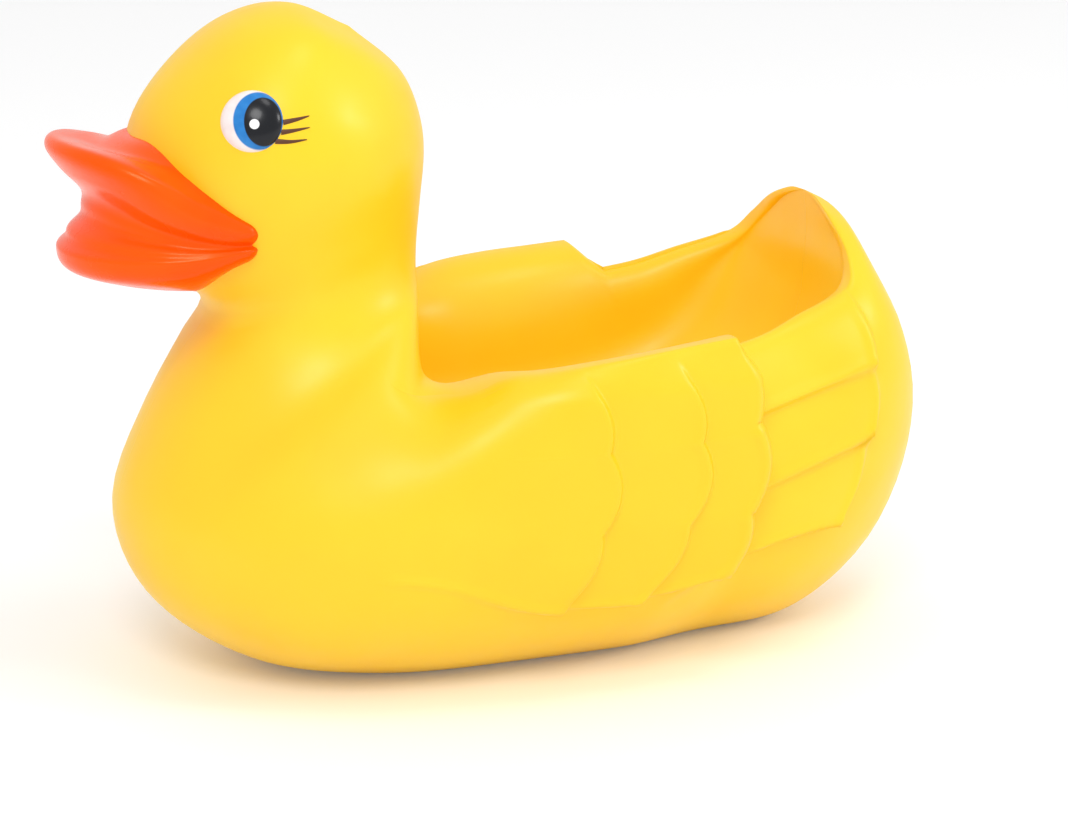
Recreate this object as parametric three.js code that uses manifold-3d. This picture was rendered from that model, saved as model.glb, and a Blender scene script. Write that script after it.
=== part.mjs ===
// Bath toy duck with an open tub in its back, moulded hollow in one piece of soft vinyl.
// Millimetres, +Z up, beak toward -Y, standing on the flat of its keel at z = 0.
import * as THREE from 'three';
import Module from 'manifold-3d';
import { LoftGeometry } from 'three/addons/geometries/LoftGeometry.js';
import { mergeVertices } from 'three/addons/utils/BufferGeometryUtils.js';

// Driving dimensions, in millimetres
const BODY_LENGTH = 210;      // breast to stern
const BODY_WIDTH = 132;       // across the wings
const RIM_HEIGHT = 86;        // top of the side rim above the table
const TAIL_HEIGHT = 110;      // top of the tail lobe above the table
const TUB_DEPTH = 46;         // side rim down to the floor of the tub
const TUB_WIDTH = 86;         // between the inner walls
const NECK_WIDTH = 55;        // neck at its narrowest
const HEAD_LENGTH = 76;       // face to back of the head
const HEAD_WIDTH = 68;        // cheek to cheek
const HEAD_HEIGHT = 73;       // crown to the level of the chin
const HEAD_FORWARD = 57.6;    // head centre ahead of the origin
const HEAD_LIFT = 129.4;      // head centre above the table
const KEEL_FLAT = 3;          // how much of the round keel the flat base takes off
const WALL = 2.6;             // thickness of the moulded skin
const FEATHER_STEP = 1.8;     // height of a feather's free edge
const SCALLOP_DEPTH = 2.6;    // notches in the rear edges of the short feathers
const BEAK_REACH = 40;        // tip of the beak ahead of its root axis
const BEAK_SPREAD = 59;       // between the two corners of the mouth
const BEAK_LIFT = 113.5;      // height of the corners of the mouth
const RIDGE_HEIGHT = 0.5;     // ridges across the tongue
const EYE_DIAMETER = 16;
const EYE_SET = 30.2;         // from the middle of the face out to each eye
const EYE_BULGE = 2.4;        // how far the eye stands out of the head
const VENT_DIAMETER = 6;      // hole in the base that opens the hollow

// The body was drawn 210 long and 132 wide with its rim 86 high, and is stretched to size
const DRAWN = { length: 210, width: 132, rim: 86 };
const body = (x, y, z) => [
  (x * BODY_WIDTH) / DRAWN.width,
  (y * BODY_LENGTH) / DRAWN.length,
  (z * RIM_HEIGHT) / DRAWN.rim,
];

// A point of the head in halves of its width, length and height from its centre
const head = (x, y, z) => [
  (x * HEAD_WIDTH) / 2,
  -HEAD_FORWARD + (y * HEAD_LENGTH) / 2,
  HEAD_LIFT + (z * HEAD_HEIGHT) / 2,
];

const degrees = (d) => (d * Math.PI) / 180;
const mix = (a, b, t) => a + (b - a) * t;
const clamp = (t) => Math.min(1, Math.max(0, t));
const smooth = (t) => clamp(t) * clamp(t) * (3 - 2 * clamp(t));

// The skin is lofted through sections that fan out from an axis across the open tub.
// The turn of a section is 0 toward the tail, 90 straight down and 180 toward the face.
const AXIS = { y: 15, z: 126 };

// A guide curve, read by turn: how far it lies from the axis and how far to the side
function guide(points) {
  const vectors = points.map((p) => new THREE.Vector3(...p));
  const curve = new THREE.CatmullRomCurve3(vectors, false, 'centripetal');
  const samples = curve.getPoints(500).map((p) => {
    const turn = Math.atan2(AXIS.z - p.z, p.y - AXIS.y);
    return {
      turn: turn < -0.5 ? turn + 2 * Math.PI : turn,
      reach: Math.hypot(p.y - AXIS.y, p.z - AXIS.z),
      side: p.x,
    };
  });
  const last = samples.length - 1;
  return (turn) => {
    let low = 0;
    let high = last;
    while (high - low > 1) {
      const middle = (low + high) >> 1;
      if (samples[middle].turn > turn) high = middle;
      else low = middle;
    }
    const span = samples[high].turn - samples[low].turn;
    const t = span > 1e-9 ? clamp((turn - samples[low].turn) / span) : 0;
    return {
      side: mix(samples[low].side, samples[high].side, t),
      reach: mix(samples[low].reach, samples[high].reach, t),
    };
  };
}

const tubFloor = RIM_HEIGHT - TUB_DEPTH;
const tailTop = [0, 85.5, TAIL_HEIGHT];
const crown = head(0, 0.54, 0.81);

// Middle line of the outside: tail, stern, keel, breast, throat, face and crown
const keelLine = guide([
  tailTop,
  [0, 89.5, TAIL_HEIGHT - 2.4],
  body(0, 96, 95),
  body(0, 106, 76),
  body(0, 110.5, 56),
  body(0, 107, 34),
  body(0, 96, 14),
  body(0, 76, 0),
  [0, 50, -KEEL_FLAT],
  [0, 0, -KEEL_FLAT - 1],
  [0, -40, -KEEL_FLAT],
  body(0, -70, 4),
  body(0, -92, 21),
  body(0, -98.5, 42),
  body(0, -91, 64),
  body(0, -82, 80),
  body(0, -74.5, 92),
  head(0, -0.72, -0.72),
  head(0, -0.94, -0.28),
  head(0, -0.89, 0.22),
  head(0, -0.62, 0.62),
  head(0, -0.26, 0.9),
  head(0, 0.14, 0.985),
  crown,
]);

// Middle line of the inside: tail, floor of the tub, its front wall, nape and crown
const floorLine = guide([
  tailTop,
  [0, 86, TAIL_HEIGHT - 4.3],
  body(0, 86.3, 100),
  body(0, 85.8, 94.5),
  body(0, 85, 82),
  body(0, 79, 67),
  [0, 63, tubFloor + 12],
  [0, 42, tubFloor + 3],
  [0, 10, tubFloor],
  [0, -14, tubFloor + 6],
  [0, -26, tubFloor + 20],
  body(0, -28, 76),
  body(0, -25, 88),
  body(0, -22.5, 100),
  head(0, 0.98, -0.3),
  head(0, 0.99, 0.14),
  head(0, 0.87, 0.5),
  crown,
]);

// Widest line of the stern and the long feathers
const sternSide = guide([
  tailTop,
  [21.5, 88, TAIL_HEIGHT - 6],
  body(33.5, 87, 95.5),
  body(40.5, 85, 87.5),
  body(45.5, 80, 77.5),
  body(48.5, 72, 66),
  body(52, 55, 60),
  body(55, 35, 58),
  body(57, 15, 56),
]);

// Widest line of the wings, the shoulders, the neck and the head
const wingSide = guide([
  body(61, 62, 62),
  body(62.5, 45, 60),
  body(64.5, 28, 57),
  body(66, 5, 54),
  body(65, -20, 53),
  body(61, -40, 53),
  body(53, -56, 56),
  body(43, -62, 65),
  body(34, -59, 76),
  [NECK_WIDTH / 2, -53, 95],
  head(0.86, 0.08, -0.62),
  head(0.985, 0.02, -0.18),
  head(1, 0, 0.1),
  head(0.9, 0.06, 0.45),
  head(0.58, 0.24, 0.8),
  crown,
]);

// Top of the rim behind the wings and round the tail
const sternRim = guide([
  tailTop,
  [18, 84.5, TAIL_HEIGHT - 4.5],
  [30, 84, TAIL_HEIGHT - 11.5],
  body(36.5, 81, 92.5),
  body(41, 66, 87),
  body(44, 56, 83.5),
  body(46, 46, 81.5),
  body(47, 35, 80),
  body(48, 20, 79),
]);

// Top of the rim over the wings, falling to the shoulders and into the neck
const wingRim = guide([
  body(57, 60, 88),
  body(59, 45, 88),
  body(60, 30, 87),
  body(61, 18, 86),
  body(60, 5, 84.5),
  body(55, -8, 82),
  body(46, -19, 80.5),
  body(35, -22, 81.5),
  body(28, -23.5, 84),
  body(22, -25, 90),
]);

// Inner wall of the tub, half way down
const tubWall = guide([
  tailTop,
  [13, 85.6, TAIL_HEIGHT - 4.2],
  body(22, 85.5, 100.3),
  body(28, 84, 95.3),
  body(32, 81.2, 90.2),
  body(34, 77.2, 86.6),
  body(36, 69.4, 80.6),
  [TUB_WIDTH * 0.44, 61, tubFloor + 34],
  [TUB_WIDTH * 0.475, 47, tubFloor + 27],
  [TUB_WIDTH * 0.495, 32, tubFloor + 23],
  [TUB_WIDTH / 2, 16, tubFloor + 22],
  [TUB_WIDTH * 0.49, 0, tubFloor + 22],
  [TUB_WIDTH * 0.43, -14, tubFloor + 25],
  [TUB_WIDTH * 0.32, -23, tubFloor + 32],
  [TUB_WIDTH * 0.22, -26, tubFloor + 42],
]);

const FIRST_TURN = Math.atan2(AXIS.z - tailTop[2], tailTop[1] - AXIS.y);
const LAST_TURN = 2 * Math.PI + Math.atan2(AXIS.z - crown[2], crown[1] - AXIS.y);

// A quarter of a rounded box corner between two guides; it leaves the first along the
// section's width when flatFirst is true, otherwise it arrives that way at the second
function corner(a, b, t, power, flatFirst) {
  const rise = Math.sin((t * Math.PI) / 2) ** (2 / power);
  const fall = Math.cos((t * Math.PI) / 2) ** (2 / power);
  const side = flatFirst ? rise : 1 - fall;
  const reach = flatFirst ? 1 - fall : rise;
  return { side: mix(a.side, b.side, side), reach: mix(a.reach, b.reach, reach) };
}

// One half section of the skin: station 0 keel, 1 side, 2 rim, 3 inner wall, 4 floor.
// Where it is shut it goes from the side straight to the floor, without the rim.
function halfSection(turn, station, widest, rim, shut = 0) {
  const keel = keelLine(turn);
  const floor = floorLine(turn);
  const under = Math.max(widest.reach, floor.reach + 2);
  const side = { side: widest.side, reach: mix(widest.reach, under, shut) };
  const closed = smooth((turn - degrees(121)) / degrees(21));
  const part = Math.min(3, Math.floor(station));
  const t = station - part;
  const hullPower = mix(2.1, 2, closed);
  const tubPower = mix(2, 2.5, smooth((turn - degrees(30)) / degrees(25)));
  let open;
  if (part === 0) {
    open = corner(keel, side, t, hullPower, true);
  } else if (part === 1) {
    open = corner(side, rim, t, 2.5, false);
  } else if (part === 2) {
    open = corner(rim, tubWall(turn), t, 2.2, true);
  } else {
    open = corner(tubWall(turn), floor, t, tubPower, false);
  }
  const total = Math.max(closed, shut);
  if (part === 0 || total === 0) return open;
  const ovalPower = mix(2.5, 2, smooth((turn - degrees(128)) / degrees(26)));
  const oval = corner(side, floor, (station - 1) / 3, ovalPower, false);
  return { side: mix(open.side, oval.side, total), reach: mix(open.reach, oval.reach, total) };
}

const place = (turn, p) => new THREE.Vector3(
  p.side,
  AXIS.y + p.reach * Math.cos(turn),
  AXIS.z - p.reach * Math.sin(turn),
);

// Rear edges of the feather rows as seen from the side: where they lie at a height
const WING_LOW = 24;
const WING_TOP = RIM_HEIGHT - 2;
const share = (z) => clamp((z - WING_LOW) / (WING_TOP - WING_LOW));
const rowEdge = (low, middle, top) => (z) => {
  const q = share(z);
  const bow = middle - (low + top) / 2;
  const scallop = 1 - Math.abs(Math.sin(3 * Math.PI * q)) ** 0.8;
  const notch = SCALLOP_DEPTH * scallop * smooth(q * 6) * smooth((1 - q) * 6);
  return mix(low, top, q) + 4 * bow * q * (1 - q) - notch;
};
const firstRow = rowEdge(-4, 9, 1);
const secondRow = rowEdge(16, 33, 25);
const thirdRow = rowEdge(36, 49, 46);
const tips = (z) => {
  const q = clamp((z - 34) / 59);
  const notch = 1 - Math.abs(Math.sin(Math.PI * 3 * q));
  const bow = q < 0.6 ? 12 * (1 - q / 0.6) ** 2 : 7 * ((q - 0.6) / 0.4) ** 2;
  return 86.5 - bow - 1.2 * notch * smooth((1 - q) * 6) * smooth(q * 6);
};

// Lower edges of the long feathers and of the whole wing: their height along the body
const longEdge = (y) => mix(65, 74, (y - 47) / 41);
const middleEdge = (y) => mix(46, 56, (y - 47) / 38);
const wingEdge = (y) => 24 + 10 * smooth((y - 10) / 60) + 10 * smooth((-y - 5) / 40);

const STEP_WIDTH = 1.6;
const past = (d, width) => clamp(d / width + 0.5);

// How far the skin is blended from the stern guides (0) to the wing guides (1)
function onWing(point, width) {
  return past(thirdRow(point.z) - point.y, width);
}

// The smooth skin under the feathers
function skin(turn, station, width = STEP_WIDTH, early = 0, shut = 0) {
  if (turn > degrees(92)) {
    return place(turn, halfSection(turn, station, wingSide(turn), wingRim(turn)));
  }
  const stern = place(turn, halfSection(turn, station, sternSide(turn), sternRim(turn), shut));
  if (turn < degrees(44)) return stern;
  const wing = place(turn, halfSection(turn, station, wingSide(turn), wingRim(turn)));
  const shifted = new THREE.Vector3(stern.x, stern.y + early, stern.z);
  return stern.lerp(wing, onWing(shifted, width));
}

// Height of the feathers above the smooth skin
function feathers(y, z) {
  const a = firstRow(z);
  const b = secondRow(z);
  const c = thirdRow(z);
  const row = (from, to) => FEATHER_STEP * clamp((y - from) / (to - from));
  const underRim = smooth((WING_TOP + 1 - z) / 9);
  let rows = mix(FEATHER_STEP * smooth((y - a + 30) / 30), row(a, b), past(y - a, STEP_WIDTH));
  rows = mix(rows, row(b, c), past(y - b, STEP_WIDTH)) * underRim;
  const long = FEATHER_STEP * clamp((96 - z) / (96 - longEdge(y)));
  const middle = FEATHER_STEP * clamp((longEdge(y) - z) / (longEdge(y) - middleEdge(y)));
  const low = FEATHER_STEP * clamp((middleEdge(y) - z) / (middleEdge(y) - wingEdge(y)));
  let flight = mix(long, middle, past(longEdge(y) - z, STEP_WIDTH));
  flight = mix(flight, low, past(middleEdge(y) - z, STEP_WIDTH));
  let height = mix(rows, flight, past(y - c, STEP_WIDTH));
  height += 1.4 * smooth((y + 30) / 40) * (1 - smooth((z - wingEdge(y)) / 22));
  height *= 1 - past(y - tips(z), STEP_WIDTH);
  return height * (1 - past(wingEdge(y) - z, STEP_WIDTH));
}

const outward = (surface, turn, station) => {
  const d = 1e-3;
  const s0 = Math.max(0, station - d);
  const s1 = Math.min(4, station + d);
  const along = surface(turn + d, station).sub(surface(turn - d, station));
  const across = surface(turn, s1).sub(surface(turn, s0));
  return across.cross(along).normalize();
};

function feathered(turn, station) {
  const point = skin(turn, station);
  if (station >= 2 || turn > degrees(125) || turn < degrees(20)) return point;
  const height = feathers(point.y, point.z);
  if (height === 0) return point;
  return point.addScaledVector(outward(skin, turn, station), height);
}

// Finds where a falling function passes zero
function cross(low, high, f) {
  let a = low;
  let b = high;
  for (let i = 0; i < 26; i += 1) {
    const m = (a + b) / 2;
    if (f(m) > 0) a = m;
    else b = m;
  }
  return (a + b) / 2;
}

// Turns at which the feather edges cross a station, held outside the wing
const edgeTurns = (station) => {
  const at = Math.min(2, Math.max(0.62, station));
  const away = smooth(Math.abs(station - at) / 0.7);
  const find = (edge, offset, rest) => {
    const found = cross(degrees(24), degrees(125), (turn) => {
      const p = turn < degrees(92)
        ? place(turn, halfSection(turn, at, sternSide(turn), sternRim(turn)))
        : skin(turn, at);
      const q = edge === firstRow || edge === secondRow ? skin(turn, at) : p;
      return q.y - edge(q.z) - offset;
    });
    return mix(found, degrees(rest) - offset * 0.008, away);
  };
  const half = STEP_WIDTH / 2;
  const rest = station > 1 ? [29, 60, 80, 104] : [57, 75, 87, 99];
  return [tips, thirdRow, secondRow, firstRow].flatMap((edge, k) => [
    find(edge, half, rest[k]), find(edge, -half, rest[k]),
  ]);
};

// Stations at which the lower edges of the feathers cross a turn, held outside the wing
const edgeStations = (turn) => {
  const ahead = 1 - smooth((turn - degrees(96)) / degrees(34));
  const find = (edge, offset, tail, front, start) => {
    const here = smooth((turn - degrees(start)) / degrees(9));
    const found = cross(0.2, 1.95, (station) => {
      const p = skin(turn, station);
      return edge(p.y) + offset - p.z;
    });
    return mix(front + offset * 0.02, mix(tail + offset * 0.02, found, here), ahead);
  };
  const half = STEP_WIDTH / 2;
  const lines = [
    [wingEdge, 0.64, 0.68, 48],
    [middleEdge, 0.78, 1.08, 36],
    [longEdge, 0.9, 1.42, 27],
  ];
  const found = lines.flatMap(([edge, ...rest]) => [
    find(edge, -half, ...rest), find(edge, half, ...rest),
  ]);
  for (let k = 1; k < found.length; k += 1) found[k] = Math.max(found[k], found[k - 1] + 0.015);
  return found;
};

// Numbers of steps between the lines of the grid, along the duck and round a half section
const ALONG = [9, 1, 8, 1, 4, 1, 4, 1, 11, 16];
const AROUND = [6, 1, 4, 1, 3, 1, 4, 5, 6];

function spread(keys, counts, ease = (t) => t) {
  const values = [keys[0]];
  counts.forEach((count, k) => {
    for (let i = 1; i <= count; i += 1) values.push(mix(keys[k], keys[k + 1], ease(i / count, k)));
  });
  return values;
}

function outerGrid() {
  const easeAlong = (t, k) => {
    if (k === 0) return 1 - Math.cos((t * Math.PI) / 2);
    return k === ALONG.length - 1 ? Math.sin((t * Math.PI) / 2) : t;
  };
  const easeAround = (t, k) => {
    if (k === 6) return Math.sin((t * Math.PI) / 2);
    return k === 7 ? 1 - Math.cos((t * Math.PI) / 2) : t;
  };
  const stationsAt = (turn) => spread([0, ...edgeStations(turn), 2, 3, 4], AROUND, easeAround);
  const ends = [FIRST_TURN + degrees(0.05), LAST_TURN - degrees(0.05)];
  const turnsAt = (station) => spread(
    [ends[0], ...edgeTurns(station), degrees(150), ends[1]], ALONG, easeAlong,
  );
  const columns = AROUND.reduce((a, b) => a + b, 0) + 1;
  const turns = turnsAt(1);
  const rows = turns.length;
  const grid = Array.from({ length: rows }, (_, i) => stationsAt(turns[i]).map((station) => (
    { turn: turns[i], station })));
  for (let pass = 0; pass < 6; pass += 1) {
    for (let j = 0; j < columns; j += 1) {
      for (let i = 0; i < rows; i += 1) {
        grid[i][j].next = turnsAt(grid[i][j].station)[i];
      }
    }
    for (let i = 0; i < rows; i += 1) {
      for (let j = 0; j < columns; j += 1) {
        const cell = grid[i][j];
        cell.turn = mix(cell.turn, cell.next, 0.7);
        cell.station = stationsAt(cell.turn)[j];
      }
    }
  }
  return grid;
}

// A closed ring from one half section and its mirror image
const ring = (half) => [
  ...half,
  ...half.slice(1, -1).reverse().map((p) => new THREE.Vector3(-p.x, p.y, p.z)),
];

function onMiddle(point, first, last, index) {
  if (index === first || index === last) point.setX(0);
  return point;
}

// Each end of a loft is drawn together in the middle of its last ring
function closedLoft(sections) {
  const tip = (points) => {
    const middle = points.reduce((sum, p) => sum.add(p), new THREE.Vector3());
    middle.divideScalar(points.length);
    return points.map(() => middle);
  };
  return new LoftGeometry([tip(sections[0]), ...sections, tip(sections[sections.length - 1])]);
}

function skinLoft() {
  const sections = outerGrid().map((row) => ring(row.map(({ turn, station }, j) => (
    onMiddle(feathered(turn, station), 0, row.length - 1, j)))));
  return closedLoft(sections);
}

// The hollow follows the smooth skin at the thickness of the wall, and at up to three times
// that under the nape, where the rim runs into the neck. In the tail its sections are drawn in
// toward their middle instead, clear of the thin rim.
function hollowLoft() {
  const shut = (turn) => 1 - smooth((turn - degrees(44)) / degrees(12));
  const wide = (turn, station) => skin(turn, station, 9, 6.5, shut(turn));
  const rows = 34;
  const columns = 14;
  const sections = [];
  for (let i = 0; i <= rows; i += 1) {
    const t = i / rows;
    const eased = mix(t, (1 - Math.cos(t * Math.PI)) / 2, 0.3);
    const turn = mix(degrees(26), LAST_TURN - degrees(0.6), eased);
    const atNape = smooth(1 - Math.abs(turn - degrees(129)) / degrees(18));
    const middle = wide(turn, 0).add(wide(turn, 4)).divideScalar(2);
    const tail = 1 - smooth((turn - degrees(30)) / degrees(12));
    const opening = 4 * shut(turn) * (1 - shut(turn));
    const half = [];
    for (let j = 0; j <= columns; j += 1) {
      const station = (j / columns) * 4;
      const point = wide(turn, station);
      const drawnIn = middle.clone().lerp(point, 1 - WALL / 9);
      const nape = atNape * smooth(1 - Math.abs(station - 2.2) / 1.4);
      const depth = WALL * (1 + 2 * nape + opening);
      point.addScaledVector(outward(wide, turn, station), -depth).lerp(drawnIn, tail);
      half.push(onMiddle(point, 0, columns, j));
    }
    sections.push(ring(half));
  }
  return closedLoft(sections);
}

// The beak is lofted round its root, from inside one cheek past the tip to the other.
// Its outlines are drawn as distance ahead of the root and height above the mouth corner.
const outline = (points) => new THREE.SplineCurve(points.map(([x, z]) => new THREE.Vector2(x, z)));
const atTip = outline([
  [4, 20], [20, 22.5], [29, 20.4], [36, 22], [41, 22.6], [42.4, 19.6], [39, 14.6],
  [34, 8.6], [34.6, 3.2], [37.6, -1.4], [40.4, -5], [38.6, -9.6], [30, -12.6], [17, -15.4], [4, -18],
]);
const atCorner = outline([
  [4, 13], [20, 13], [25, 12], [28, 8.4], [29.8, 3.6], [30.2, 1], [29, -0.2],
  [28.2, -1.2], [28.4, -2], [29.4, -2.8], [30, -4.4], [28.8, -8], [25.6, -11], [18, -13.6], [4, -14],
]);

// The hollow of the beak is the same loft drawn in toward the middle of its sections
function beakLoft(sweep, steps, points, fill) {
  const sections = [];
  for (let i = 0; i <= steps; i += 1) {
    const angle = mix(-degrees(sweep), degrees(sweep), i / steps);
    const inside = smooth((Math.abs(angle) - degrees(92)) / degrees(20));
    const near = Math.max(0, Math.cos(angle)) ** 2.1;
    const section = [];
    for (let k = 0; k <= points; k += 1) {
      const t = k / points;
      const tip = atTip.getPoint(t);
      const corner = atCorner.getPoint(t);
      const ridges = RIDGE_HEIGHT * Math.sin(t * 63) * smooth(15 * t - 7.5) * smooth(11 - 15 * t);
      const out = mix(10, mix(corner.x, tip.x, near) * (1 - 0.35 * inside) + ridges * near, fill);
      const down = mix(2, mix(corner.y, tip.y, near) * (1 - 0.4 * inside), fill);
      section.push(new THREE.Vector3(
        (out * Math.sin(angle) * BEAK_SPREAD) / 59,
        -HEAD_FORWARD - 14.4 - (out * Math.cos(angle) * BEAK_REACH) / 42,
        BEAK_LIFT + down,
      ));
    }
    sections.push(section);
  }
  return closedLoft(sections);
}

// An eye is a low dome on the cheek, facing straight out of it
const EYE_TURN = degrees(191.4);
function eyeDome() {
  const height = (station) => EYE_SET - skin(EYE_TURN, station).x;
  const station = cross(0.2, 1, height);
  const seat = skin(EYE_TURN, station);
  const facing = outward(skin, EYE_TURN, station);
  const geometry = new THREE.SphereGeometry(1, 20, 12);
  geometry.scale(EYE_DIAMETER / 2, EYE_DIAMETER / 2, EYE_BULGE * 1.6);
  geometry.applyQuaternion(new THREE.Quaternion().setFromUnitVectors(new THREE.Vector3(0, 0, 1), facing));
  const centre = seat.addScaledVector(facing, -0.6 * EYE_BULGE);
  return geometry.translate(centre.x, centre.y, centre.z);
}

const wasm = await Module();
wasm.setup();

function solid(geometry) {
  const shape = new THREE.BufferGeometry();
  shape.setAttribute('position', geometry.attributes.position);
  shape.setIndex(geometry.index);
  const welded = mergeVertices(shape, 1e-4);
  const faces = [];
  for (let i = 0; i < welded.index.count; i += 3) {
    const face = [0, 1, 2].map((k) => welded.index.getX(i + k));
    if (new Set(face).size === 3) faces.push(...face);
  }
  welded.setIndex(faces);
  return new wasm.Manifold(new wasm.Mesh({
    numProp: 3,
    vertProperties: new Float32Array(welded.attributes.position.array),
    triVerts: new Uint32Array(welded.index.array),
  }));
}

const eye = solid(eyeDome());
const outside = solid(skinLoft())
  .trimByPlane([0, 0, 1], 0)
  .add(solid(beakLoft(112, 24, 30, 1)))
  .add(eye)
  .add(eye.mirror([1, 0, 0]));
const hollow = solid(hollowLoft())
  .trimByPlane([0, 0, 1], WALL)
  .add(solid(beakLoft(96, 12, 14, 1 - WALL / 20)));
const vent = new THREE.CylinderGeometry(VENT_DIAMETER / 2, VENT_DIAMETER / 2, 4 * WALL, 24);
vent.rotateX(Math.PI / 2);
vent.translate(0, -25, 0);
const moulding = outside.subtract(hollow).subtract(solid(vent)).simplify(0.03);

const mesh = moulding.getMesh();
const geometry = new THREE.BufferGeometry();
geometry.setAttribute('position', new THREE.BufferAttribute(new Float32Array(mesh.vertProperties), 3));
geometry.setIndex(new THREE.BufferAttribute(new Uint32Array(mesh.triVerts), 1));
geometry.computeBoundingBox();
geometry.translate(0, -(geometry.boundingBox.min.y + geometry.boundingBox.max.y) / 2, 0);
geometry.computeVertexNormals();

const vinyl = new THREE.MeshStandardMaterial({ color: '#ffdc3a', roughness: 0.42, metalness: 0 });
const duck = new THREE.Mesh(geometry, vinyl);
duck.name = 'duck';
const part = new THREE.Group();
part.name = 'rubber_duck';
part.add(duck);

export default part;
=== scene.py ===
"""Looks of the bath toy duck: satin yellow vinyl, glossy orange beak, printed eyes and lashes."""

import math

import bpy
import numpy as np
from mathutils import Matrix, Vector
from mathutils.bvhtree import BVHTree


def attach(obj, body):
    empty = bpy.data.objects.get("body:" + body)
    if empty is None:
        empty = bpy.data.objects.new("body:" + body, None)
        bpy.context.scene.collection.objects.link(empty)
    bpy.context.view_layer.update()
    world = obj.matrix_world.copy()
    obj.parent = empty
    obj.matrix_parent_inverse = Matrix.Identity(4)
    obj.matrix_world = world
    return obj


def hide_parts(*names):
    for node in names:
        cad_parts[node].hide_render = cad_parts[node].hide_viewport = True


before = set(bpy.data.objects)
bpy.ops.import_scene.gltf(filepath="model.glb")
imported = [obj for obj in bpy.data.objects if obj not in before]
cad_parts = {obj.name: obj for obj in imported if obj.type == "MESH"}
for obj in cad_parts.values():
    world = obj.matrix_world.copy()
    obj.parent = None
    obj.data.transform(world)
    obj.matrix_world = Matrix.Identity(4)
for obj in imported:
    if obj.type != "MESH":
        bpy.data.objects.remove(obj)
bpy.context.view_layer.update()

DEG = math.pi / 180
MM = 1000  # millimetres in a metre
SHIFT = 1.1  # the drawing's origin lies this far behind the part's, in mm

# Main dimensions, in mm
RIM_HEIGHT = 86
TAIL_HEIGHT = 110
TUB_WIDTH = 86
TUB_FLOOR = 40
NECK_WIDTH = 55
KEEL = 3
HEAD = (34, 38, 36.5)  # half width, length and height
HEAD_AT = (0, -57.6, 129.4)
AXIS_Y, AXIS_Z = 15, 126  # the sections fan round this line, which runs along the width
VENT_RADIUS = 3
VENT_Y = -25
VENT_DEPTH = 4

# Roundness of the sections' corners: 2 is an ellipse, and more is squarer
ELLIPSE = 2
HULL_POWER = 2.1
SIDE_POWER = 2.5
RIM_POWER = 2.2
TUB_POWER = 2.5

# Feathers, in mm
FEATHER_STEP = 1.8
STEP_WIDTH = 2.0
SOFT_STEP = 26  # width of the stern's step below the wing
SCALLOPS = 3  # on each row
SCALLOP_DEPTH = 2.6
LIP = 0.5  # height of the bead inside an edge
LIP_WIDTH = 1.3
WING_LOW, WING_TOP = 24, RIM_HEIGHT - 2
WING_RISE = 10  # of the wing's lower edge, toward each end
WING_SWELL = 1.4  # how far the wing's lower part stands out
TIP_END = 86.5
TIP_DEPTH = 1.2
FLIGHT_FRONT = 47
FLIGHT_TOP = 96

# Beak, in mm
BEAK_LIFT = 113.5
BEAK_AHEAD = 14.4  # of the head's middle
BEAK_LENGTH, BEAK_WIDTH = 40, 42  # only their ratio counts
BEAK_MOUTH = -1
BEAK_FOLD = 0.5
CHEEK_BULGE = 3.0

# Eyes and lashes, in mm
EYE_RADIUS = 7.5
EYE_SET = 29.386  # from the middle plane to the eye's seat
EYE_TURN = 190.965 * DEG
EYE_BULGE = 2.4
EYE_ROOT = 2.5  # how deep the dome's point lies in the head
LASH_WIDTH = 1.3
LASH_HEIGHT = 0.16
LASH_LIFT = 0.02
LASHES = [
    [(-63.0, 142.0), (-59.6, 142.6), (-56.6, 143.2)],
    [(-63.7, 139.8), (-60.7, 140.1), (-56.8, 140.6)],
    [(-65.2, 137.8), (-61.7, 137.6), (-57.7, 137.9)],
]


def add_camera():
    """The photograph's view."""
    focal_pixels, photo_pixels, sensor = 3400, 1068, 36
    azimuth, elevation, distance = math.radians(70), math.radians(15), 0.870
    target = Vector((0.0, 0.011 + SHIFT / MM, 0.058))
    back = Vector(
        (
            math.sin(azimuth) * math.cos(elevation),
            -math.cos(azimuth) * math.cos(elevation),
            math.sin(elevation),
        )
    )
    data = bpy.data.cameras.new("camera")
    data.sensor_width = sensor
    data.lens = focal_pixels / photo_pixels * sensor
    camera = bpy.data.objects.new("camera", data)
    camera.location = target + back * distance
    camera.rotation_mode = "QUATERNION"
    camera.rotation_quaternion = (-back).to_track_quat("-Z", "Y")
    bpy.context.scene.collection.objects.link(camera)
    bpy.context.scene.camera = camera


def head(x, y, z):
    """A place in the drawing from shares of the head's half sizes."""
    return (x * HEAD[0], HEAD_AT[1] + y * HEAD[1], HEAD_AT[2] + z * HEAD[2])


def mix(a, b, t):
    return a + (b - a) * t


def clamp(t):
    return np.clip(t, 0.0, 1.0)


def smooth(t):
    c = clamp(t)
    return c * c * (3 - 2 * c)


def over(angle, start, span):
    """Goes smoothly from 0 to 1, from a start and over a span in degrees."""
    return smooth((angle - start * DEG) / (span * DEG))


def ease_in(t):
    return 1 - math.cos(t * math.pi / 2)


def ease_out(t):
    return math.sin(t * math.pi / 2)


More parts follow.
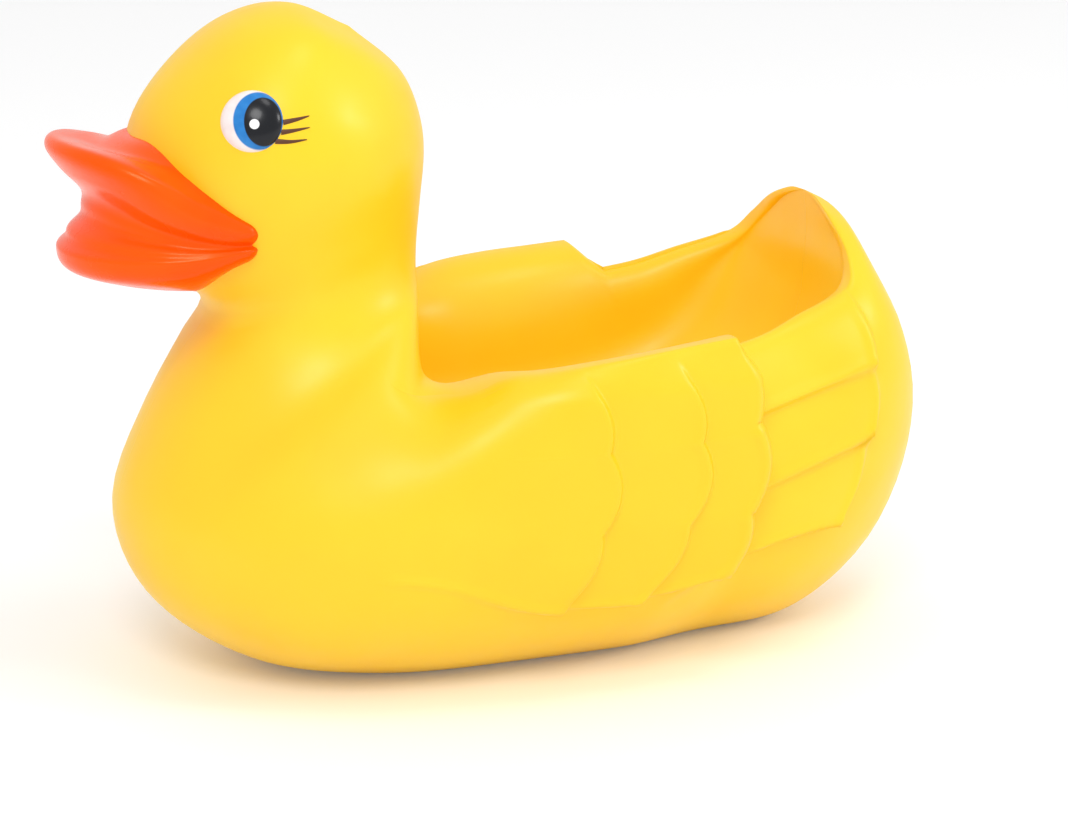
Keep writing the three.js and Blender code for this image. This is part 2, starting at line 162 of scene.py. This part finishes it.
# Guides
def centripetal(points, steps):
    """Centripetal Catmull-Rom curve through the points, evenly stepped in its parameter."""
    p = np.array(points, float)
    p = np.vstack([2 * p[0] - p[1], p, 2 * p[-1] - p[-2]])
    u = np.linspace(0, len(p) - 3, steps + 1)
    k = np.minimum(u.astype(int), len(p) - 4)
    w = (u - k)[:, None]
    p0, p1, p2, p3 = p[k], p[k + 1], p[k + 2], p[k + 3]

    def gap(a, b):
        return np.sqrt(np.linalg.norm(a - b, axis=1))[:, None]

    d0, d1, d2 = gap(p0, p1), gap(p1, p2), gap(p2, p3)
    t1 = ((p1 - p0) / d0 - (p2 - p0) / (d0 + d1) + (p2 - p1) / d1) * d1
    t2 = ((p2 - p1) / d1 - (p3 - p1) / (d1 + d2) + (p3 - p2) / d2) * d1
    return (
        p1
        + t1 * w
        + (-3 * p1 + 3 * p2 - 2 * t1 - t2) * w**2
        + (2 * p1 - 2 * p2 + t1 + t2) * w**3
    )


def guide(points):
    """A curve along the duck, read by its turn about the axis as side and reach."""
    s = centripetal(points, 1500)
    turn = np.arctan2(AXIS_Z - s[:, 2], s[:, 1] - AXIS_Y)
    turn = np.where(turn < -0.5, turn + 2 * np.pi, turn)
    turn = np.maximum.accumulate(turn + np.arange(len(turn)) * 1e-9)
    reach = np.hypot(s[:, 1] - AXIS_Y, s[:, 2] - AXIS_Z)
    return lambda t: (np.interp(t, turn, s[:, 0]), np.interp(t, turn, reach))


TAIL_TOP = (0, 85.5, TAIL_HEIGHT)
CROWN = head(0, 0.54, 0.81)
FIRST_TURN = math.atan2(AXIS_Z - TAIL_TOP[2], TAIL_TOP[1] - AXIS_Y)
LAST_TURN = 2 * math.pi + math.atan2(AXIS_Z - CROWN[2], CROWN[1] - AXIS_Y)

keel_line = guide(
    [TAIL_TOP, (0, 89.5, TAIL_HEIGHT - 2.4), (0, 96, 95), (0, 106, 76), (0, 110.5, 56)]
    + [(0, 107, 34), (0, 96, 14), (0, 76, 0), (0, 50, -KEEL), (0, 0, -KEEL - 1), (0, -40, -KEEL)]
    + [(0, -70, 4), (0, -92, 21), (0, -98.5, 42), (0, -91, 64), (0, -82, 80), (0, -74.5, 92)]
    + [head(0, -0.72, -0.72), head(0, -0.94, -0.28), head(0, -0.89, 0.22), head(0, -0.62, 0.62)]
    + [head(0, -0.26, 0.9), head(0, 0.14, 0.985), CROWN]
)
floor_line = guide(
    [TAIL_TOP, (0, 86, TAIL_HEIGHT - 4.3), (0, 86.3, 100), (0, 85.8, 94.5), (0, 85, 82)]
    + [(0, 79, 67), (0, 63, TUB_FLOOR + 12), (0, 42, TUB_FLOOR + 3), (0, 10, TUB_FLOOR)]
    + [(0, -14, TUB_FLOOR + 6), (0, -26, TUB_FLOOR + 20), (0, -28, 76), (0, -25, 88)]
    + [(0, -22.5, 100), head(0, 0.98, -0.3), head(0, 0.99, 0.14), head(0, 0.87, 0.5), CROWN]
)
stern_side = guide(
    [TAIL_TOP, (10, 88, TAIL_HEIGHT - 2), (21.5, 88, TAIL_HEIGHT - 6), (33.5, 87, 95.5)]
    + [(40.5, 85, 87.5), (45.5, 80, 77.5), (48.5, 72, 66), (52, 55, 60), (55, 35, 58)]
    + [(57, 15, 56)]
)
wing_side = guide(
    [(61, 62, 62), (62.5, 45, 60), (64.5, 28, 57), (66, 5, 54), (65, -20, 53), (61, -40, 53)]
    + [(53, -56, 56), (43, -62, 65), (34, -59, 76), (NECK_WIDTH / 2, -53, 95)]
    + [head(0.86, 0.08, -0.62), head(0.985, 0.02, -0.18), head(1, 0, 0.1)]
    + [head(0.9, 0.06, 0.45), head(0.58, 0.24, 0.8), CROWN]
)
stern_rim = guide(
    [TAIL_TOP, (8, 85.3, TAIL_HEIGHT - 0.7), (18, 84.5, TAIL_HEIGHT - 4.5)]
    + [(30, 84, TAIL_HEIGHT - 11.5), (36.5, 81, 92.5), (41, 66, 87), (44, 56, 83.5)]
    + [(46, 46, 81.5), (47, 35, 80), (48, 20, 79)]
)
wing_rim = guide(
    [(57, 60, 88), (59, 45, 88), (60, 30, 87), (61, 18, 86), (60, 5, 84.5), (55, -8, 82)]
    + [(46, -19, 80.5), (35, -22, 81.5), (28, -23.5, 84), (22, -25, 90)]
)
tub_wall = guide(
    [TAIL_TOP, (6, 85.5, TAIL_HEIGHT - 1.6), (13, 85.6, TAIL_HEIGHT - 4.2), (22, 85.5, 100.3)]
    + [(28, 84, 95.3), (32, 81.2, 90.2), (34, 77.2, 86.6), (36, 69.4, 80.6)]
    + [(TUB_WIDTH * 0.44, 61, TUB_FLOOR + 34), (TUB_WIDTH * 0.475, 47, TUB_FLOOR + 27)]
    + [(TUB_WIDTH * 0.495, 32, TUB_FLOOR + 23), (TUB_WIDTH / 2, 16, TUB_FLOOR + 22)]
    + [(TUB_WIDTH * 0.49, 0, TUB_FLOOR + 22), (TUB_WIDTH * 0.43, -14, TUB_FLOOR + 25)]
    + [(TUB_WIDTH * 0.32, -23, TUB_FLOOR + 32), (TUB_WIDTH * 0.22, -26, TUB_FLOOR + 42)]
)


# Sections
def corner(a, b, t, power, flat_first):
    """A rounded quarter from one guide to another."""
    angle = clamp(t) * np.pi / 2
    rise = np.sin(angle) ** (2 / power)
    fall = np.maximum(np.cos(angle), 0) ** (2 / power)
    s, r = (rise, 1 - fall) if flat_first else (1 - fall, rise)
    return mix(a[0], b[0], s), mix(a[1], b[1], r)


def half_section(turn, station, side, rim):
    """One half section of the skin: station 0 keel, 1 side, 2 rim, 3 inner wall, 4 floor."""
    keel, floor, wall = keel_line(turn), floor_line(turn), tub_wall(turn)
    closed = over(turn, 121, 21)
    hull_power = mix(HULL_POWER, ELLIPSE, closed)
    tub_power = mix(ELLIPSE, TUB_POWER, over(turn, 30, 25))
    oval_power = mix(SIDE_POWER, ELLIPSE, over(turn, 128, 26))
    parts = [
        corner(keel, side, station, hull_power, True),
        corner(side, rim, station - 1, SIDE_POWER, False),
        corner(rim, wall, station - 2, RIM_POWER, True),
        corner(wall, floor, station - 3, tub_power, False),
    ]
    part = np.minimum(3, np.floor(station)).astype(int)
    s = np.choose(part, [p[0] for p in parts])
    r = np.choose(part, [p[1] for p in parts])
    oval = corner(side, floor, (station - 1) / 3, oval_power, False)
    shut = np.where(part == 0, 0, closed)
    return mix(s, oval[0], shut), mix(r, oval[1], shut)


def place(turn, p):
    """Points in the drawing from a turn and its side and reach."""
    return np.stack([p[0], AXIS_Y + p[1] * np.cos(turn), AXIS_Z - p[1] * np.sin(turn)], -1)


# Feathers
def row_edge(low, middle, top):
    """A scalloped rear edge, as places along the duck by height."""

    def edge(z):
        q = clamp((z - WING_LOW) / (WING_TOP - WING_LOW))
        bow = middle - (low + top) / 2
        scallop = 1 - np.abs(np.sin(SCALLOPS * np.pi * q)) ** 0.8
        notch = SCALLOP_DEPTH * scallop * smooth(q * 6) * smooth((1 - q) * 6)
        return mix(low, top, q) + 4 * bow * q * (1 - q) - notch

    return edge


first_row = row_edge(-4, 9, 1)
second_row = row_edge(16, 33, 25)
third_row = row_edge(36, 49, 46)


def tips(z):
    """Rear ends of the long flight feathers, by height."""
    q = clamp((z - 34) / 59)
    notch = 1 - np.abs(np.sin(SCALLOPS * np.pi * q))
    bow = np.where(q < 0.6, 12 * (1 - q / 0.6) ** 2, 7 * ((q - 0.6) / 0.4) ** 2)
    return TIP_END - bow - TIP_DEPTH * notch * smooth((1 - q) * 6) * smooth(q * 6)


def long_edge(y):
    return mix(65, 74, (y - FLIGHT_FRONT) / 41)


def middle_edge(y):
    return mix(46, 56, (y - FLIGHT_FRONT) / 38)


def wing_edge(y):
    return WING_LOW + WING_RISE * smooth((y - 10) / 60) + WING_RISE * smooth((-y - 5) / 40)


def past(d, width=STEP_WIDTH):
    """0 before an edge and 1 behind it."""
    return smooth(d / width + 0.5)


def lip(inside):
    """A soft bead just inside a feather's edge."""
    return LIP * np.exp(-(((inside - STEP_WIDTH * 0.7) / LIP_WIDTH) ** 2))


def skin(turn, station):
    """The smooth skin. The stern steps out to the wing at the third row's edge."""
    wing = place(turn, half_section(turn, station, wing_side(turn), wing_rim(turn)))
    stern = place(turn, half_section(turn, station, stern_side(turn), stern_rim(turn)))
    below = smooth((wing_edge(stern[..., 1]) + 2 - stern[..., 2]) / 9)
    step = mix(STEP_WIDTH, SOFT_STEP, below)
    on_wing = past(third_row(stern[..., 2]) - stern[..., 1], step)
    on_wing = np.where(turn > 92 * DEG, 1, np.where(turn < 44 * DEG, 0, on_wing))
    return mix(stern, wing, on_wing[..., None])


def row_height(y, z, a, b, c):
    """Height of the scalloped rows whose rear edges are a, b and c."""

    def lift(near, far):
        return FEATHER_STEP * clamp((y - near) / (far - near))

    rows = mix(FEATHER_STEP * smooth((y - a + 30) / 30), lift(a, b), past(y - a))
    rows = mix(rows, lift(b, c), past(y - b)) * smooth((WING_TOP + 1 - z) / 9)
    rows = rows + (lip(a - y) + lip(b - y)) * smooth((WING_TOP - 4 - z) / 12)
    return rows + lip(c - y) * smooth((WING_TOP + 1 - z) / 6)


def flight_height(y, z):
    """Height of the three flight feathers, which overlap downward."""
    le, me, we = long_edge(y), middle_edge(y), wing_edge(y)
    long = FEATHER_STEP * clamp((FLIGHT_TOP - z) / (FLIGHT_TOP - le))
    middle = FEATHER_STEP * clamp((le - z) / (le - me))
    low = FEATHER_STEP * clamp((me - z) / (me - we))
    flight = mix(mix(long, middle, past(le - z)), low, past(me - z))
    return flight + lip(z - le) + lip(z - me)


def feathers(y, z):
    """Height of the feathers above the smooth skin."""
    a, b, c, we = first_row(z), second_row(z), third_row(z), wing_edge(y)
    height = mix(row_height(y, z, a, b, c), flight_height(y, z), past(y - c))
    height = height + WING_SWELL * smooth((y + 30) / 40) * (1 - smooth((z - we) / 22))
    height = height + lip(tips(z) - y) * past(y - c) * smooth((92 - z) / 10) + lip(z - we)
    return height * (1 - past(y - tips(z))) * (1 - past(we - z))


def outward(turn, station):
    """The smooth skin's outward direction."""
    d = 1e-3
    s0, s1 = np.maximum(0, station - d), np.minimum(4, station + d)
    along = skin(turn + d, station) - skin(turn - d, station)
    across = skin(turn, s1) - skin(turn, s0)
    n = np.cross(across, along)
    return n / np.maximum(np.linalg.norm(n, axis=-1), 1e-12)[..., None]


def feathered(turn, station):
    """The skin with its feathers, which end at the rim and don't reach the chest or the tail."""
    point = skin(turn, station)
    height = feathers(point[..., 1], point[..., 2])
    plain = (station >= 2) | (turn > 125 * DEG) | (turn < 20 * DEG)
    height = np.where(plain, 0, height)
    return point + outward(turn, station) * height[..., None]


# Grid: every column keeps one station, and its rows are gathered on the feathers' rear edges
ALONG = [30, 6, 34, 7, 22, 5, 20, 5, 38, 56]  # rows between a column's keys
STATIONS = [0, 0.6, 1.2, 2, 3, 4]
AROUND = [18, 60, 52, 14, 18]  # columns between the stations
CHEST_TURN = 150 * DEG
END_GAP = 0.05 * DEG
LEAST_GAP = 0.6 * DEG


def falling_zero(low, high, f, shape):
    """Where a falling function passes zero, for a whole array at once."""
    a, b = np.full(shape, float(low)), np.full(shape, float(high))
    for _ in range(24):
        m = (a + b) / 2
        up = f(m) > 0
        a, b = np.where(up, m, a), np.where(up, b, m)
    return (a + b) / 2


def edge_turns(station):
    """The turns just before and behind each rear edge, at each station."""
    at = np.clip(station, 0.62, 2)
    away = smooth(np.abs(station - at) / 0.7)
    half = STEP_WIDTH / 2
    found = []
    for k, edge in enumerate([tips, third_row, second_row, first_row]):
        rest = np.where(station > 1, [29, 60, 80, 104][k], [57, 75, 87, 99][k]) * DEG

        def ahead(turn, edge=edge, k=k):
            side = wing_side(turn) if k > 1 else stern_side(turn)
            rim = wing_rim(turn) if k > 1 else stern_rim(turn)
            p = place(turn, half_section(turn, at, side, rim))
            return p[..., 1] - edge(p[..., 2])

        for offset in (half, -half):
            zero = falling_zero(24 * DEG, 125 * DEG, lambda t: ahead(t) - offset, station.shape)
            found.append(mix(zero, rest - offset * 0.008, away))
    return found


def spread(keys, counts, eases):
    """Values from key to key, with as many steps between two keys as its count says."""
    values = [keys[0]]
    for k, count in enumerate(counts):
        ease = eases.get(k)
        for i in range(1, count + 1):
            t = i / count
            values.append(mix(keys[k], keys[k + 1], ease(t) if ease else t))
    return np.array(values)


def outer_grid():
    station = spread(STATIONS, AROUND, {2: ease_out, 3: ease_in})
    keys = [np.full(station.shape, FIRST_TURN + END_GAP), *edge_turns(station)]
    keys += [np.full(station.shape, CHEST_TURN), np.full(station.shape, LAST_TURN - END_GAP)]
    for k in range(1, len(keys)):
        keys[k] = np.maximum(keys[k], keys[k - 1] + LEAST_GAP)
    turn = spread(keys, ALONG, {0: ease_in, len(ALONG) - 1: ease_out})
    return turn, np.broadcast_to(station, turn.shape)


# Meshes
def make_object(name, verts, faces):
    """A smooth mesh object in metres from points drawn in mm."""
    mesh = bpy.data.meshes.new(name)
    v = (np.asarray(verts, float) + [0, SHIFT, 0]) / MM
    mesh.from_pydata(v.tolist(), [], [list(map(int, f)) for f in faces])
    mesh.validate()
    mesh.update()
    obj = bpy.data.objects.new(name, mesh)
    bpy.context.scene.collection.objects.link(obj)
    mesh.polygons.foreach_set("use_smooth", np.ones(len(mesh.polygons), bool))
    return obj


def ring_loft(rings):
    """Points and faces of a closed loft; each end is drawn together in its middle."""
    rings = np.asarray(rings)
    n, m = rings.shape[:2]
    verts = np.vstack([rings.reshape(-1, 3), rings[0].mean(0), rings[-1].mean(0)])
    k = np.arange(m)
    k1 = (k + 1) % m
    faces = []
    for i in range(n - 1):
        a, b = i * m, (i + 1) * m
        faces.extend(zip(a + k, a + k1, b + k1, b + k))
    faces.extend(zip(np.full(m, n * m), k1, k))
    last = (n - 1) * m
    faces.extend(zip(np.full(m, n * m + 1), last + k, last + k1))
    v0, v1, v2 = (verts[[f[i] for f in faces]] for i in range(3))
    if np.einsum("ij,ij->i", v0, np.cross(v1, v2)).sum() < 0:
        faces = [f[::-1] for f in faces]
    return verts, faces


def make_body():
    """The whole skin: one half from the grid, and its mirror image."""
    turn, station = outer_grid()
    half = feathered(turn, station)
    half[:, 0, 0] = 0
    half[:, -1, 0] = 0
    other = half[:, -2:0:-1] * [-1, 1, 1]
    rings = np.concatenate([half, other], axis=1)
    rings[..., 2] = np.maximum(rings[..., 2], 0)
    return make_object("body", *ring_loft(rings))


def cut_vent(body):
    """The vent in the flat of the base."""
    bpy.ops.mesh.primitive_cylinder_add(
        vertices=48,
        radius=VENT_RADIUS / MM,
        depth=2 * VENT_DEPTH / MM,
        location=(0, (VENT_Y + SHIFT) / MM, 0),
    )
    cutter = bpy.context.object
    cut = body.modifiers.new("vent", "BOOLEAN")
    cut.operation = "DIFFERENCE"
    cut.solver = "MANIFOLD"
    cut.object = cutter
    bpy.context.view_layer.objects.active = body
    bpy.ops.object.modifier_apply(modifier="vent")
    bpy.data.objects.remove(cutter)


# Beak
def spline(points, count):
    """Uniform Catmull-Rom curve with its ends held."""
    p = np.array(points, float)
    u = np.linspace(0, len(p) - 1, count)
    k = np.minimum(u.astype(int), len(p) - 2)
    w = (u - k)[:, None]
    p0, p1, p2 = p[np.maximum(k - 1, 0)], p[k], p[k + 1]
    p3 = p[np.minimum(k + 2, len(p) - 1)]
    t0, t1 = (p2 - p0) / 2, (p3 - p1) / 2
    return (2 * p1 - 2 * p2 + t0 + t1) * w**3 + (-3 * p1 + 3 * p2 - 2 * t0 - t1) * w**2 + t0 * w + p1


def make_beak():
    """A loft swung round an upright line in the head, from sections of (out, up) points."""
    points, steps, sweep = 181, 150, 112 * DEG
    at_tip = spline(
        [(4, 20), (20, 22), (28.6, 19.6), (36, 21.6), (41, 22.4), (42.4, 19.6), (39, 14.6)]
        + [(33.6, 8.6), (34.4, 3.2), (37.6, -1.4), (40.4, -5), (38.6, -9.6), (30, -12.6)]
        + [(17, -15.4), (4, -18)],
        points,
    )
    at_corner = spline(
        [(4, 14), (20, 13.6), (25.2, 11), (27.8, 8.8), (30.2, 6.8), (31, 3.8), (30, 1)]
        + [(28.8, -0.8), (29, -1.8), (29.7, -2.8), (30, -4.4), (28.8, -8), (25.6, -11)]
        + [(18, -13.6), (4, -14)],
        points,
    )
    k = np.linspace(0, 1, points)
    folds = BEAK_FOLD * np.sin(k * 63) * smooth(15 * k - 7.5) * smooth(11 - 15 * k)
    rings = []
    for angle in np.linspace(-sweep, sweep, steps + 1):
        inside = over(abs(angle), 92, 20)
        near = max(0, math.cos(angle)) ** 2.1
        out = mix(at_corner[:, 0], at_tip[:, 0], near) * (1 - 0.35 * inside) + folds * near
        up = mix(at_corner[:, 1], at_tip[:, 1], near) * (1 - 0.4 * inside)
        jaw = 0.6 * over(abs(angle), 58, 44)
        cheek = 0.62 * over(abs(angle), 74, 34)
        up = BEAK_MOUTH + (up - BEAK_MOUTH) * (1 - np.where(up < BEAK_MOUTH, jaw, cheek))
        up = up + CHEEK_BULGE * math.sin(2 * angle) ** 2 * smooth((up - 4) / 9)
        y = HEAD_AT[1] - BEAK_AHEAD - out * math.cos(angle) * BEAK_LENGTH / BEAK_WIDTH
        rings.append(np.stack([out * math.sin(angle), y, BEAK_LIFT + up], -1))
    return make_object("beak", *ring_loft(rings))


# Eyes and lashes
def eye_seat():
    """The left eye's middle on the skin, and its outward, rear and upward directions."""
    turn = np.array([EYE_TURN])
    station = falling_zero(0.2, 1, lambda s: EYE_SET - skin(turn, s)[..., 0], (1,))
    facing = outward(turn, station)[0]
    aft = np.cross([0, 0, 1], facing)
    aft /= np.linalg.norm(aft)
    return skin(turn, station)[0], facing, aft, np.cross(facing, aft)


def make_eye(name, side):
    """A low dome; its points carry their place on the eye, for the printing."""
    seat, facing, aft, up = eye_seat()
    around, rows = 128, 40
    off_print = (0, -20)
    verts, flat = [], []
    for i in range(rows + 1):
        tilt = i / rows * math.pi * 0.5
        r = EYE_RADIUS * math.sin(tilt)
        h = EYE_BULGE * (1.6 * math.cos(tilt) - 0.6)
        for j in range(around):
            a = 2 * math.pi * j / around
            u, v = r * math.cos(a), r * math.sin(a)
            verts.append((seat + facing * h + aft * u + up * v) * [side, 1, 1])
            flat.append((u, v))
    verts.append((seat - facing * EYE_ROOT) * [side, 1, 1])
    flat.append(off_print)
    faces = []
    for i in range(rows):
        for j in range(around):
            j1 = (j + 1) % around
            a, b = i * around, (i + 1) * around
            faces.append((a + j, b + j, b + j1, a + j1))
    last = rows * around
    for j in range(around):
        faces.append((last + j, len(verts) - 1, last + (j + 1) % around))
    if side < 0:
        faces = [f[::-1] for f in faces]
    obj = make_object(name, verts, faces)
    for axis, label in enumerate(("eye_aft", "eye_up")):
        layer = obj.data.attributes.new(label, "FLOAT", "POINT")
        layer.data.foreach_set("value", np.array(flat, np.float32)[:, axis].copy())
    return obj


def lash_rings(path, tree):
    """A tapered stroke of paint that follows the head, from (y, z) points in the side view."""
    points, normals = [], []
    for y, z in spline(path, 28):
        start = Vector((0.1, (y + SHIFT) / MM, z / MM))
        hit, normal, _, _ = tree.ray_cast(start, Vector((-1, 0, 0)))
        points.append(np.array(hit) * MM - [0, SHIFT, 0])
        normals.append(np.array(normal))
    along = np.gradient(np.array(points), axis=0)
    along /= np.linalg.norm(along, axis=1)[:, None]
    across = np.cross(np.array(normals), along)
    rings = []
    for i, p in enumerate(points):
        t = i / (len(points) - 1)
        w = LASH_WIDTH * (1 - 0.85 * t**1.4)
        ring = []
        for a in np.linspace(0, 2 * math.pi, 12, endpoint=False):
            height = LASH_HEIGHT * math.sin(a) + LASH_LIFT
            ring.append(p + across[i] * (w / 2 * math.cos(a)) + normals[i] * height)
        rings.append(ring)
    return rings


def make_lashes(name, side, tree):
    """The three lashes of one eye as one piece."""
    verts, faces = [], []
    for path in LASHES:
        v, f = ring_loft(lash_rings(path, tree))
        f = [g[::-1] for g in f] if side < 0 else f
        faces += [[int(q) + len(verts) for q in g] for g in f]
        verts += (v * [side, 1, 1]).tolist()
    return make_object(name, verts, faces)


# Materials
class Nodes:
    """Small helper for building node materials."""

    def __init__(self, name):
        self.material = bpy.data.materials.new(name)
        self.material.use_nodes = True
        self.tree = self.material.node_tree
        self.shader = self.tree.nodes["Principled BSDF"]
        self.where = self.add("ShaderNodeTexCoord").outputs["Object"]

    def add(self, kind, **values):
        node = self.tree.nodes.new(kind)
        for key, value in values.items():
            setattr(node, key, value)
        return node

    def put(self, socket, value):
        """Links a socket to a value's node, or sets it to a plain value."""
        if isinstance(value, bpy.types.NodeSocket):
            self.tree.links.new(value, socket)
        else:
            socket.default_value = value

    def math(self, operation, a, b=0.0):
        node = self.add("ShaderNodeMath", operation=operation)
        self.put(node.inputs[0], a)
        self.put(node.inputs[1], b)
        return node.outputs[0]

    def noise(self, scale, detail=2.0):
        node = self.add("ShaderNodeTexNoise")
        self.put(node.inputs["Vector"], self.where)
        self.put(node.inputs["Scale"], scale)
        self.put(node.inputs["Detail"], detail)
        return node.outputs["Fac"]

    def ramp(self, value, low, high, to_low=0.0, to_high=1.0):
        node = self.add("ShaderNodeMapRange", interpolation_type="SMOOTHSTEP")
        self.put(node.inputs["Value"], value)
        self.put(node.inputs["From Min"], low)
        self.put(node.inputs["From Max"], high)
        self.put(node.inputs["To Min"], to_low)
        self.put(node.inputs["To Max"], to_high)
        return node.outputs["Result"]

    def mottle(self, scale, detail=2.0, low=0.0, high=1.0):
        """Noise drawn out between two values."""
        return self.ramp(self.noise(scale, detail), 0.3, 0.7, low, high)

    def blend(self, fac, a, b):
        node = self.add("ShaderNodeMix", data_type="RGBA")
        self.put(node.inputs["Factor"], fac)
        self.put(node.inputs[6], a)
        self.put(node.inputs[7], b)
        return node.outputs[2]

    def bump(self, height, strength, distance, normal=None):
        node = self.add("ShaderNodeBump")
        self.put(node.inputs["Strength"], strength)
        self.put(node.inputs["Distance"], distance)
        self.put(node.inputs["Height"], height)
        if normal:
            self.put(node.inputs["Normal"], normal)
        return node.outputs["Normal"]

    def surface(self, color, roughness, normal, **values):
        self.put(self.shader.inputs["Base Color"], color)
        self.put(self.shader.inputs["Roughness"], roughness)
        self.put(self.shader.inputs["Normal"], normal)
        for key, value in values.items():
            self.put(self.shader.inputs[key.replace("_", " ")], value)
        return self.material


def vinyl():
    """Satin yellow, with a fine grain and a faint parting line down the middle."""
    n = Nodes("vinyl")
    deep, pale = (1.0, 0.595, 0.010, 1), (1.0, 0.635, 0.014, 1)
    line_core, line_edge = 0.00008, 0.00038
    split = n.add("ShaderNodeSeparateXYZ")
    n.put(split.inputs[0], n.where)
    line = n.ramp(n.math("ABSOLUTE", split.outputs[0]), line_core, line_edge, 1, 0)
    grain = n.bump(n.noise(1400), 0.10, 0.00012)
    return n.surface(
        n.blend(n.mottle(22, 3.0), deep, pale),
        n.mottle(60, 4.0, 0.36, 0.46),
        n.bump(line, 0.5, 0.00010, grain),
        Subsurface_Weight=0.08,
        Subsurface_Radius=(1.0, 0.6, 0.08),
        Subsurface_Scale=0.003,
        Specular_IOR_Level=0.4,
        Coat_Weight=0.06,
        Coat_Roughness=0.25,
    )


def beak_paint():
    """Glossy orange. The tinted shine keeps the white surroundings from turning it pink."""
    n = Nodes("beak_paint")
    deep, pale = (1.0, 0.080, 0.0, 1), (1.0, 0.100, 0.001, 1)
    return n.surface(
        n.blend(n.mottle(40, 3.0), deep, pale),
        n.mottle(120, 3.0, 0.20, 0.28),
        n.bump(n.noise(500), 0.08, 0.00015),
        Specular_IOR_Level=0.45,
        Specular_Tint=(1.0, 0.5, 0.22, 1),
        Coat_Weight=0.06,
        Coat_Roughness=0.06,
    )


def eye_print():
    """White, then blue, black and a white dot on it, as ellipses with sizes in mm."""
    n = Nodes("eye_print")
    black, glint = (0.004, 0.005, 0.008, 1), (0.95, 0.95, 0.95, 1)
    u = n.add("ShaderNodeAttribute", attribute_name="eye_aft").outputs["Fac"]
    v = n.add("ShaderNodeAttribute", attribute_name="eye_up").outputs["Fac"]

    def ellipse(at_u, at_v, half_width, half_height, soft=0.03):
        a = n.math("DIVIDE", n.math("SUBTRACT", u, at_u), half_width)
        b = n.math("DIVIDE", n.math("SUBTRACT", v, at_v), half_height)
        r = n.math("SQRT", n.math("ADD", n.math("MULTIPLY", a, a), n.math("MULTIPLY", b, b)))
        return n.ramp(r, 1 - soft, 1 + soft, 1, 0)

    tone = n.mottle(300)
    white = n.blend(tone, (0.86, 0.76, 0.74, 1), (0.92, 0.84, 0.82, 1))
    blue = n.blend(tone, (0.012, 0.18, 0.54, 1), (0.025, 0.23, 0.62, 1))
    color = n.blend(ellipse(1.8, -0.05, 5.74, 6.83), white, blue)
    color = n.blend(ellipse(2.98, -0.37, 4.25, 5.74), color, black)
    color = n.blend(ellipse(1.2, -1.24, 1.16, 1.16, 0.08), color, glint)
    return n.surface(
        color,
        0.24,
        n.bump(n.noise(700), 0.05, 0.0001),
        Specular_IOR_Level=0.3,
        Coat_Weight=0.1,
        Coat_Roughness=0.08,
    )


def lash_print():
    """Brown ink."""
    n = Nodes("lash_print")
    color = n.blend(n.noise(400), (0.07, 0.018, 0.002, 1), (0.12, 0.034, 0.004, 1))
    return n.surface(color, 0.4, n.bump(n.noise(900), 0.05, 0.0001))


# Stage
def add_floor():
    """A pale floor that glows a little to the camera and in reflections."""
    glow = 0.1
    bpy.ops.mesh.primitive_plane_add(size=16, location=(0, 0, 0))
    floor = bpy.context.object
    floor.name = "floor"
    n = Nodes("floor")
    pale = n.blend(n.noise(3), (0.97, 0.97, 0.97, 1), (0.98, 0.98, 0.98, 1))
    ray = n.add("ShaderNodeLightPath")
    seen = n.math("MAXIMUM", ray.outputs["Is Camera Ray"], ray.outputs["Is Glossy Ray"])
    n.put(n.shader.inputs["Emission Strength"], n.math("MULTIPLY", seen, glow))
    n.put(n.shader.inputs["Emission Color"], (1, 1, 1, 1))
    floor.data.materials.append(n.surface(pale, 0.6, n.bump(n.noise(200), 0.02, 0.0002)))


def add_world():
    """An even white studio, a little brighter to the camera than as light."""
    as_light, to_camera = 0.8, 1.0
    world = bpy.data.worlds.new("studio")
    bpy.context.scene.world = world
    world.use_nodes = True
    nodes, links = world.node_tree.nodes, world.node_tree.links
    background = nodes["Background"]
    background.inputs["Color"].default_value = (1, 1, 1, 1)
    ray = nodes.new("ShaderNodeLightPath")
    level = nodes.new("ShaderNodeMapRange")
    level.inputs["To Min"].default_value = as_light
    level.inputs["To Max"].default_value = to_camera
    links.new(ray.outputs["Is Camera Ray"], level.inputs["Value"])
    links.new(level.outputs["Result"], background.inputs["Strength"])


def add_light(name, location, size, power):
    """A round lamp that faces the duck's middle."""
    data = bpy.data.lights.new(name, "AREA")
    data.shape = "DISK"
    data.size = size
    data.energy = power
    light = bpy.data.objects.new(name, data)
    light.location = location
    aim = Vector((0, 0, 0.07)) - Vector(location)
    light.rotation_mode = "QUATERNION"
    light.rotation_quaternion = aim.to_track_quat("-Z", "Y")
    bpy.context.scene.collection.objects.link(light)


add_camera()
body = make_body()
cut_vent(body)
beak = make_beak()
eyes = [make_eye("eye_left", 1), make_eye("eye_right", -1)]
tree = BVHTree.FromObject(body, bpy.context.evaluated_depsgraph_get())
lashes = [make_lashes("lashes_left", 1, tree), make_lashes("lashes_right", -1, tree)]

body.data.materials.clear()
looks = (
    ([body], vinyl()),
    ([beak], beak_paint()),
    (eyes, eye_print()),
    (lashes, lash_print()),
)
for pieces, material in looks:
    for obj in pieces:
        obj.data.materials.append(material)
        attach(obj, "root")
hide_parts("duck")

add_floor()
add_world()
add_light("key", (1.15, -0.5, 1.2), size=0.6, power=7.5)
add_light("top", (0.3, 0.2, 1.1), size=0.35, power=1.2)
add_light("fill", (0.7, 1.2, 0.7), size=0.4, power=4)
bpy.context.scene.view_settings.view_transform = "Standard"
